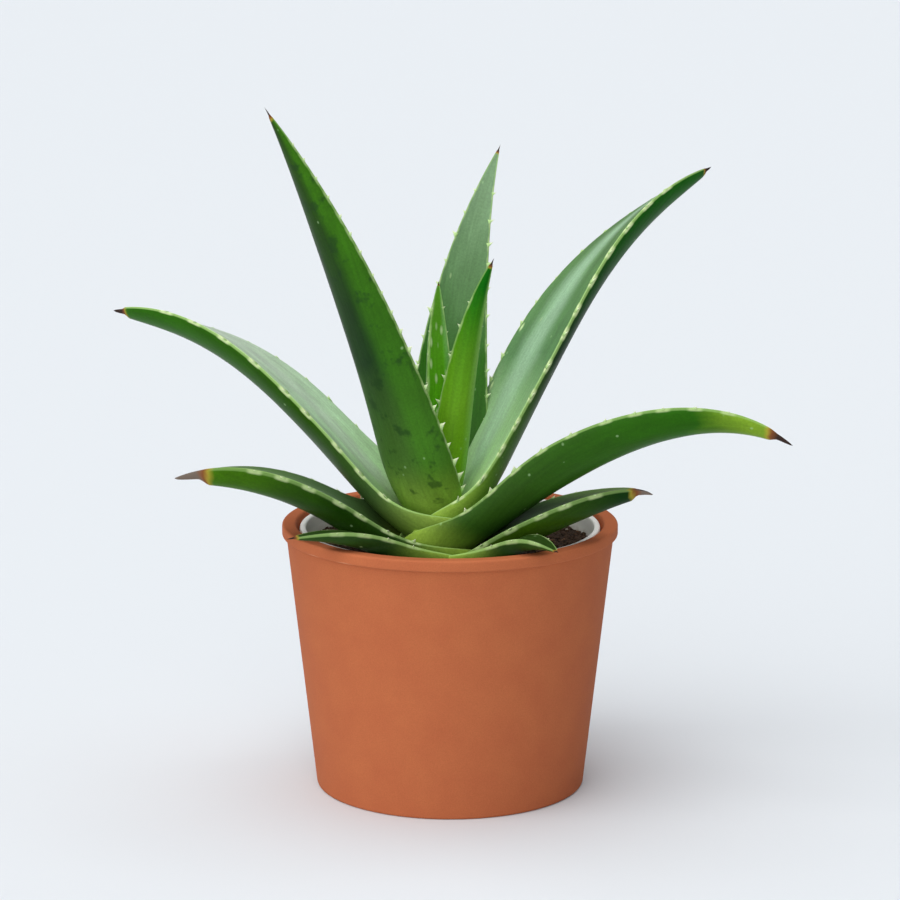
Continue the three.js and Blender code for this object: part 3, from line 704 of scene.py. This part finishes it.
def leafSkin(name, look):
    # Aloe leaf: a thick waxy skin over clear flesh. It is satin, deep green beneath, paler and bluer above
    # where the wax bloom lies, with fine lengthwise streaks, a pale edge and a brown, dried tip. Light is
    # painted
    # into its colour as well: a sheen along the middle of the upper face, one lighter flank and a glow at the
    # root.
    material, add = newMaterial(name)
    place = add("ShaderNodeAttribute", attribute_name="leafPlace").outputs["Vector"]
    shares = add("ShaderNodeSeparateXYZ", [
        add("ShaderNodeAttribute", attribute_name="leafShare").outputs["Vector"]]).outputs
    fromMargin = add("ShaderNodeAttribute", attribute_name="leafMargin").outputs["Fac"]
    fromTooth = add("ShaderNodeAttribute", attribute_name="leafTooth").outputs["Fac"]

    def stretched(size, lower=0):  # the leaf's own place, scaled to a pattern's size
        scale = (1 / (size[0] * mm), 1 / (size[1] * mm), lower)
        return add("ShaderNodeMapping", {"Vector": place, "Scale": scale})

    def painted(face, coats):  # a coat is how much of it shows and its colour
        for share, tone in coats:
            face = add(mix, {0: share, 6: face, 7: linearColor(tone)}, data_type="RGBA").outputs[2]
        return face

    streak = add("ShaderNodeTexNoise", {"Vector": stretched(skinMaking["streak"]), "Scale": 1, "Detail": 3})
    cloud = add("ShaderNodeTexNoise", {"Vector": stretched(skinMaking["cloud"], 3), "Scale": 1, "Detail": 3})
    pores = add("ShaderNodeTexNoise", {
        "Vector": add("ShaderNodeTexCoord").outputs["Object"], "Scale": 1 / (skinMaking["pore"] * mm),
        "Detail": 2})  # real pores are finer, and wouldn't show

    # green from the base to the tip, with painted light on one flank, a band along the middle that is partly
    # wax bloom and partly painted sheen, and a yellower root that is partly its own colour and partly painted
    # glow
    wander = add(maths, [cloud, skinMaking["wander"], -skinMaking["wander"] / 2], operation="MULTIPLY_ADD")
    tones = add("ShaderNodeValToRGB", [add(maths, [shares["X"], wander], operation="ADD")])
    setStops(tones, list(zip(look["toneAt"], look["tones"])))
    # painted light: one flank made lighter, as where that side of the leaf faces the light
    onLitFlank = add(maths, [shares["Y"], look["litFlankSide"]], operation="MULTIPLY")
    litFlankShare = add(mapRange, [onLitFlank, look["litFlankFrom"], look["litFlankFrom"] + 0.5, 0, look["litFlankAmount"]],
                     interpolation_type="SMOOTHSTEP")
    # along the middle of the upper face: partly the real wax bloom, partly a painted sheen, the reflection of
    # the bright surroundings in the channel
    fromMiddle = add(maths, [shares["Y"], -look["bloomAndSheenAt"]], operation="ADD")
    fromMiddle = add(maths, [fromMiddle], operation="ABSOLUTE")
    cloudyMiddle = add(maths, [cloud, 0.5, fromMiddle], operation="MULTIPLY_ADD")
    bloomAndSheenShare = add(mapRange, [cloudyMiddle, look["bloomAndSheenWidth"] + 0.25, 0.3, 0, look["bloomAndSheen"]],
                     interpolation_type="SMOOTHSTEP")
    # the pale yellow-green root: partly the leaves' own colour, partly painted light for the glow through the
    # flesh where the crown lies in shade
    fromRoot = add("ShaderNodeSeparateXYZ", [place]).outputs["Y"]
    paleBaseAndGlowShare = add(mapRange, [
        fromRoot, look["baseReach"] * mm, skinMaking["baseFull"] * mm, 0, look["base"]],
        interpolation_type="SMOOTHSTEP")
    face = painted(tones, [(litFlankShare, look["litFlank"]), (bloomAndSheenShare, look["waxAndSheen"]),
                           (paleBaseAndGlowShare, look["paleBaseAndGlow"])])

    # lighter and darker by cloud, streak and pore
    changes = []
    for pattern, depth in ((cloud, look["cloud"]), (streak, skinMaking["streaked"]),
                           (pores, skinMaking["pored"])):
        changes.append(add(mapRange, [pattern, 0.3, 0.7, 1 - depth, 1 + depth]))
    shade = changes[0]
    for change in changes[1:]:
        shade = add(maths, [shade, change], operation="MULTIPLY")
    face = add(vectorMaths, {0: face, "Scale": shade}, operation="SCALE").outputs[0]

    # long pale spots and fine specks of wax, each in some cells of a grid stretched along the leaf
    coats = []
    for channel, (kind, mark) in enumerate(skinMarks.items()):
        cells = add("ShaderNodeTexVoronoi", {"Vector": stretched(mark["size"]), "Scale": 1,
                                             "Randomness": mark["random"]})
        pick = add("ShaderNodeSeparateColor", [cells.outputs["Color"]]).outputs[channel]
        chosen = add(maths, [pick, look[kind]], operation="LESS_THAN")
        core = add(mapRange, [cells.outputs["Distance"], mark["edge"], mark["core"], 0, mark["amount"]])
        coats.append((add(maths, [chosen, core], operation="MULTIPLY"), mark["tone"]))

    # dark bruises
    bruise = add("ShaderNodeTexNoise", {"Vector": stretched(skinMaking["bruise"]), "Scale": 1, "Detail": 3,
                                        "Roughness": 0.6})
    bruiseShare = add(mapRange, [bruise, *skinMaking["bruiseEdge"], 0, look["bruises"]])
    coats.append((bruiseShare, skinMaking["bruiseTone"]))

    # the pale margin: a thin line that swells to a long patch at each tooth
    line = look["line"] * mm
    lineShare = add(mapRange, [fromMargin, line, line * 0.4, 0, look["margin"]])
    toothNear = add(mapRange, [fromTooth, skinMaking["patchFrom"] * mm, skinMaking["patchFull"] * mm],
                    interpolation_type="SMOOTHSTEP")
    marginNear = add(mapRange, [fromMargin, line * 1.5, line * 0.7])
    patchShare = add(maths, [toothNear, marginNear], operation="MULTIPLY")
    patchShare = add(maths, [patchShare, look["patch"]], operation="MULTIPLY")
    face = painted(face, coats + [(lineShare, look["edge"]), (patchShare, look["patchTone"])])

    # the dried end: yellow, then rust, then dark or grey at the point
    ragged = add(maths, [cloud, skinMaking["ragged"] * mm, -skinMaking["ragged"] / 2 * mm],
                 operation="MULTIPLY_ADD")
    tipDistance = add(maths, [shares["Z"], ragged], operation="ADD")
    tipShare = add(maths, [tipDistance, look["dry"] * mm], operation="DIVIDE")
    dried = add("ShaderNodeValToRGB", [tipShare])
    setStops(dried, [(0.6, look["tip"]), (0.84, skinMaking["rust"]), (1, skinMaking["yellow"])])
    isDry = add(mapRange, [tipShare, 1.15, 0.95])
    face = add(mix, {0: isDry, 6: face, 7: dried}, data_type="RGBA").outputs[2]

    fineRough = add(mapRange, [cloud, 0, 1, look["gloss"] - 0.05, look["gloss"] + 0.12])
    rough = add(mix, {0: isDry, 2: fineRough, 3: 0.8})
    bump = add("ShaderNodeBump", {"Height": pores, "Strength": 0.12, "Distance": 0.1 * mm})
    bump = add("ShaderNodeBump", {"Height": streak, "Strength": 0.22, "Distance": 0.25 * mm, "Normal": bump})
    bump = add("ShaderNodeBump", {"Height": cloud, "Strength": 0.3, "Distance": 0.8 * mm, "Normal": bump})
    add("ShaderNodeOutputMaterial", {"Surface": add("ShaderNodeBsdfPrincipled", {
        "Base Color": face, "Roughness": rough, "Normal": bump, "IOR": 1.45,
        "Specular IOR Level": look["shine"]})})
    return material


def toothMaterial():
    # Aloe teeth are the leaf's horny edge drawn out: pale green at the foot and cream at the point.
    material, add = newMaterial("horny aloe teeth")
    tone = add("ShaderNodeValToRGB", [add("ShaderNodeAttribute", attribute_name="toothShare").outputs["Fac"]])
    setStops(tone, [(0.3, toothMaking["green"]), (0.85, toothMaking["cream"])])
    grain = add("ShaderNodeTexNoise", {"Vector": add("ShaderNodeTexCoord").outputs["Object"],
                                       "Scale": 1 / (toothMaking["grain"] * mm)})
    bump = add("ShaderNodeBump", {"Height": grain, "Strength": 0.1, "Distance": 0.1 * mm})
    add("ShaderNodeOutputMaterial", {"Surface": add("ShaderNodeBsdfPrincipled", {
        "Base Color": tone, "Roughness": 0.4, "Normal": bump})})
    return material


# What the look of every leaf face starts from. The tones are its green at the base, the middle and the end.
plainFace = {
    "tones": ("#7f9c3c", "#4f8030", "#3f7022"), "toneAt": (0.12, 0.45, 0.88), "cloud": 0.1,
    "litFlank": "#ffffff", "litFlankSide": 1, "litFlankFrom": 0.3, "litFlankAmount": 0.0,
    "waxAndSheen": "#9fc4a6", "bloomAndSheen": 0.0, "bloomAndSheenAt": 0.0, "bloomAndSheenWidth": 0.75,
    "paleBaseAndGlow": "#a8c84c", "base": 0.75, "baseReach": 34, "spots": 0.0, "specks": 0.06, "bruises": 0.0,
    "edge": "#a9d07a", "margin": 0.45, "patchTone": "#d3e6a8", "patch": 0.25,
    "tip": "#3a2c25", "gloss": 0.38, "shine": 0.1,
}
leaves = {
    # the heart leaf's greens are brighter than its own colour: painted light, for the glow through its flesh
    # where it stands in the taller leaves' shade
    "leafHeart": {
        "node": "leaf_heart", "heading": -53, "width": 19, "thick": 5.8, "root": 4, "wrap": 80, "sheath": 21,
        "bend": 36, "roll": -6, "tipRoll": 0, "taper": 2.4, "blunt": 0.84, "dry": 4,
        "path": [(-2, -16, 118), (-1, -15, 158), (6, -15, 213), (19, -28, 243)],
        "teeth": 11,
        "above": {"tones": ("#86c42a", "#64a520", "#3f8a00")},
        "below": {"tones": ("#6ca00c", "#77b225", "#066a00"), "litFlank": "#8fc25e", "litFlankFrom": 0.1,
                  "litFlankAmount": 0.75},
    },
    # the spotted leaf's greens are brighter than its own colour: painted light, for the glow through its
    # flesh in the shade at the heart of the rosette
    "leafSpotted": {
        "node": "leaf_spotted", "heading": 129, "width": 16.5, "thick": 5.2, "root": 3.6, "wrap": 80,
        "sheath": 20, "bend": 35, "roll": -7, "tipRoll": 0, "taper": 2.7, "blunt": 0.8, "dry": 2,
        "path": [(-6, -10, 119), (-1, -5, 154), (-7, 0, 194), (-5, 3, 228)],
        "teeth": 11,
        "above": {"tones": ("#8cc83a", "#67be0e", "#60a227"), "spots": 0.85, "litFlank": "#8fc47e",
                  "litFlankSide": -1, "litFlankAmount": 0.5},
        "below": {"tones": ("#5f9420", "#3f7d0c", "#4a8618"), "spots": 0.5},
    },
    "leafBack": {
        "node": "leaf_back", "heading": 78, "width": 42, "thick": 8, "root": 5.5, "wrap": 80, "sheath": 20,
        "bend": 22, "roll": 6, "tipRoll": 0, "taper": 1.65, "blunt": 1, "dry": 4,
        "path": [(-3, -8, 114), (-1, 13, 167), (1, 39, 227), (23, 59, 282)],
        "teeth": 11.5,
        "above": {"tones": ("#4a7536", "#286600", "#72926b"), "waxAndSheen": "#7ba070", "bloomAndSheen": 0.12,
                  "spots": 0.05, "shine": 0.25},
        "below": {"tones": ("#5f8f45", "#35661c", "#4a7a3a")},
    },
    "leafTall": {
        "node": "leaf_tall", "heading": 233, "width": 42, "thick": 9.1, "root": 8, "wrap": 105, "sheath": 23,
        "bend": 26, "roll": -8, "tipRoll": 0, "taper": 2.2, "blunt": 0.96, "dry": 6,
        "path": [(-9, -16, 113), (-13, -28, 163), (-50, -54, 267), (-77, -71, 312.95)],
        "teeth": 9.5,
        "above": {"tones": ("#6a962a", "#4f8a3a", "#4f7f3a")},
        "below": {"tones": ("#507a30", "#193616", "#264a08"), "bruises": 0.6, "litFlank": "#3f7c10",
                  "litFlankSide": 1, "litFlankFrom": 0.15, "litFlankAmount": 0.6, "cloud": 0.14, "baseReach": 48},
    },
    "leafRightHigh": {
        "node": "leaf_right_high", "heading": 11.5, "width": 37.5, "thick": 10.2, "root": 8.4, "wrap": 133,
        "sheath": 23.2, "bend": 12, "roll": 16, "tipRoll": -35.6, "taper": 4.45, "blunt": 0.615, "dry": 5,
        "path": [(-9.8, -25.9, 110), (24, -3.2, 154.5), (43, 25, 246), (118, 48, 273)],
        "teeth": 14,
        "above": {"tones": ("#cef8b7", "#598352", "#567e41"), "waxAndSheen": "#a5c9a6", "bloomAndSheen": 0.7,
                  "bloomAndSheenAt": 0.1, "bloomAndSheenWidth": 0.6, "spots": 0.04, "shine": 0.45, "patch": 0.9,
                  "margin": 0.7, "cloud": 0.16, "baseReach": 56},
        "below": {"tones": ("#5c8a31", "#033200", "#0f5701"), "patch": 0.8, "margin": 0.7, "baseReach": 56},
    },
    "leafLeftHigh": {
        "node": "leaf_left_high", "heading": 159, "width": 41.2, "thick": 9.8, "root": 16.7, "wrap": 131,
        "sheath": 28.6, "bend": 12, "roll": 8, "tipRoll": 14.5, "taper": 4.12, "blunt": 0.62, "dry": 8,
        "path": [(-0.1, -12.4, 106), (-55.3, -9, 166.3), (-84.3, -3.9, 217), (-149.95, 14, 213)],
        "teeth": 15.5,
        "above": {"tones": ("#9bca80", "#bbdeb3", "#c4cfbf"), "waxAndSheen": "#c8dcc4", "bloomAndSheen": 0.6,
                  "bloomAndSheenWidth": 0.5, "shine": 0.6, "patch": 0.9, "margin": 0.7, "cloud": 0.18,
                  "baseReach": 56},
        "below": {"tones": ("#527040", "#275000", "#276001"), "patch": 0.8, "margin": 0.7, "baseReach": 50},
    },
    "leafRightLong": {
        "node": "leaf_right_long", "heading": -6, "width": 29, "thick": 8.3, "root": 14.2, "wrap": 130,
        "sheath": 26.7, "bend": 27.2, "roll": -38.5, "tipRoll": 14.5, "taper": 3.71, "blunt": 0.63, "dry": 11,
        "path": [(-2.4, -21.8, 104), (17.8, -36.4, 141.6), (96.2, -66.9, 206.3), (142.95, -92.8, 174)],
        "teeth": 14,
        "above": {"tones": ("#4f7a28", "#33661a", "#6f9426")},
        "below": {"tones": ("#2e5215", "#255e02", "#86a92e"), "toneAt": (0.3, 0.76, 0.97),
                  "spots": 0.03, "specks": 0.12, "patch": 0.4, "margin": 0.4},
    },
    "leafLeftLow": {
        "node": "leaf_left_low", "heading": 180, "width": 27.2, "thick": 10.6, "root": 23.2, "wrap": 133,
        "sheath": 25.6, "bend": 14.7, "roll": 4.7, "tipRoll": 9.2, "taper": 4.08, "blunt": 0.57, "dry": 15,
        "path": [(-16.3, -13.2, 99), (-28.9, -36.2, 132), (-78.3, -39.4, 164.2), (-119, -47, 150)],
        "teeth": 12.5,
        "above": {"tones": ("#4f7034", "#587a48", "#5c8038")},
        "below": {"tones": ("#2a4a13", "#143500", "#3e6e02"), "patch": 0.5, "margin": 0.35, "tip": "#7a6c60"},
    },
    "leafRightLow": {
        "node": "leaf_right_low", "heading": -9, "width": 26.1, "thick": 10.2, "root": 20.7, "wrap": 122,
        "sheath": 14.5, "bend": 25.2, "roll": 3.7, "tipRoll": -13.7, "taper": 3.6, "blunt": 0.66, "dry": 10,
        "path": [(7.1, -20.6, 98), (-0.2, -37.8, 120.6), (73, -40.6, 152.4), (88, -44, 142)],
        "teeth": 12.5,
        "above": {"tones": ("#506f38", "#4e7040", "#5f7c34")},
        "below": {"tones": ("#121602", "#345308", "#063000"), "patch": 0.4, "margin": 0.35, "tip": "#7a6c60"},
    },
    "leafFrontLeft": {
        "node": "leaf_front_left", "heading": 226, "width": 15.5, "thick": 6, "root": 19, "wrap": 70,
        "sheath": 18, "bend": 26, "roll": 3, "tipRoll": 0, "taper": 2.9, "blunt": 0.85, "dry": 5,
        "path": [(-8, -36, 101), (-22, -50, 124), (-44, -55, 132), (-70, -64, 127)],
        "teeth": 11,
        "above": {"tones": ("#38521a", "#2b4716", "#264012"), "margin": 0.5},
        "below": {"tones": ("#3e5a22", "#203c12", "#2a4a16"), "margin": 0.5},
    },
    "leafFrontRight": {
        "node": "leaf_front_right", "heading": -52, "width": 14, "thick": 6, "root": 19, "wrap": 70,
        "sheath": 20, "bend": 24, "roll": 4, "tipRoll": 0, "taper": 3.2, "blunt": 0.85, "dry": 2,
        "path": [(10, -38, 101), (22, -50, 121), (32, -58, 133), (46, -76, 124)],
        "teeth": 10,
        "above": {"tones": ("#38521a", "#2b4716", "#264012"), "margin": 0.5},
        "below": {"tones": ("#3e5a22", "#203c12", "#2a4a16"), "margin": 0.5},
    },
}
marginLine = {"above": 0.7, "below": 0.32}  # the pale line's reach in from the margin, in mm along the face

aloeTree = leafTree()
teethMaterial = toothMaterial()
for number, (name, leaf) in enumerate(leaves.items()):
    skins = {}
    for face in ("above", "below"):
        look = {**plainFace, **leaf[face], "dry": leaf["dry"], "line": marginLine[face]}
        skins[face] = leafSkin("waxy aloe skin " + face + " on " + leaf["node"], look)
    grower = placeObject(name + "Grower", bpy.data.meshes.new(name))
    modifier = grower.modifiers.new("grow", "NODES")
    modifier.node_group = aloeTree
    heading, wrap, bend, roll, tipRoll = [
        math.radians(leaf[key]) for key in ("heading", "wrap", "bend", "roll", "tipRoll")]
    root, lowerHandle, upperHandle, tip = [Vector(point) * mm for point in leaf["path"]]
    setInputs(modifier, {
        "Root": root, "Lower Handle": lowerHandle, "Upper Handle": upperHandle, "Tip": tip,
        "Width Direction": (-math.sin(heading), math.cos(heading), 0),
        "Half Width": leaf["width"] / 2 * mm, "Thickness": leaf["thick"] * mm,
        "Root Radius": leaf["root"] * mm, "Wrap": wrap, "Sheath": leaf["sheath"] * mm, "Bend": bend,
        "Roll": roll, "Tip Roll": tipRoll, "Taper": float(leaf["taper"]), "Bluntness": float(leaf["blunt"]),
        "Dry": leaf["dry"] * mm, "Edge": leafMaking["edge"] * mm, "Rings": leafMaking["rings"],
        "Around": leafMaking["around"], "Tooth Spacing": leaf["teeth"] * mm,
        "Tooth Radius": toothMaking["radius"] * mm,
        "Tooth Height": (toothMaking["height"] + toothMaking["sunk"]) * mm,
        "Tooth Size": min(1.0, leaf["width"] / toothMaking["fullWidth"]), "Seed": leafMaking["seed"] + number,
        "Upper Skin Material": skins["above"], "Lower Skin Material": skins["below"],
        "Tooth Material": teethMaterial,
    })
    mesh = bakedMesh(grower, name)
    bpy.data.objects.remove(grower)
    makePiece(name, mesh, leaf["node"])
    print("leaf grown:", name, len(mesh.polygons), "faces")
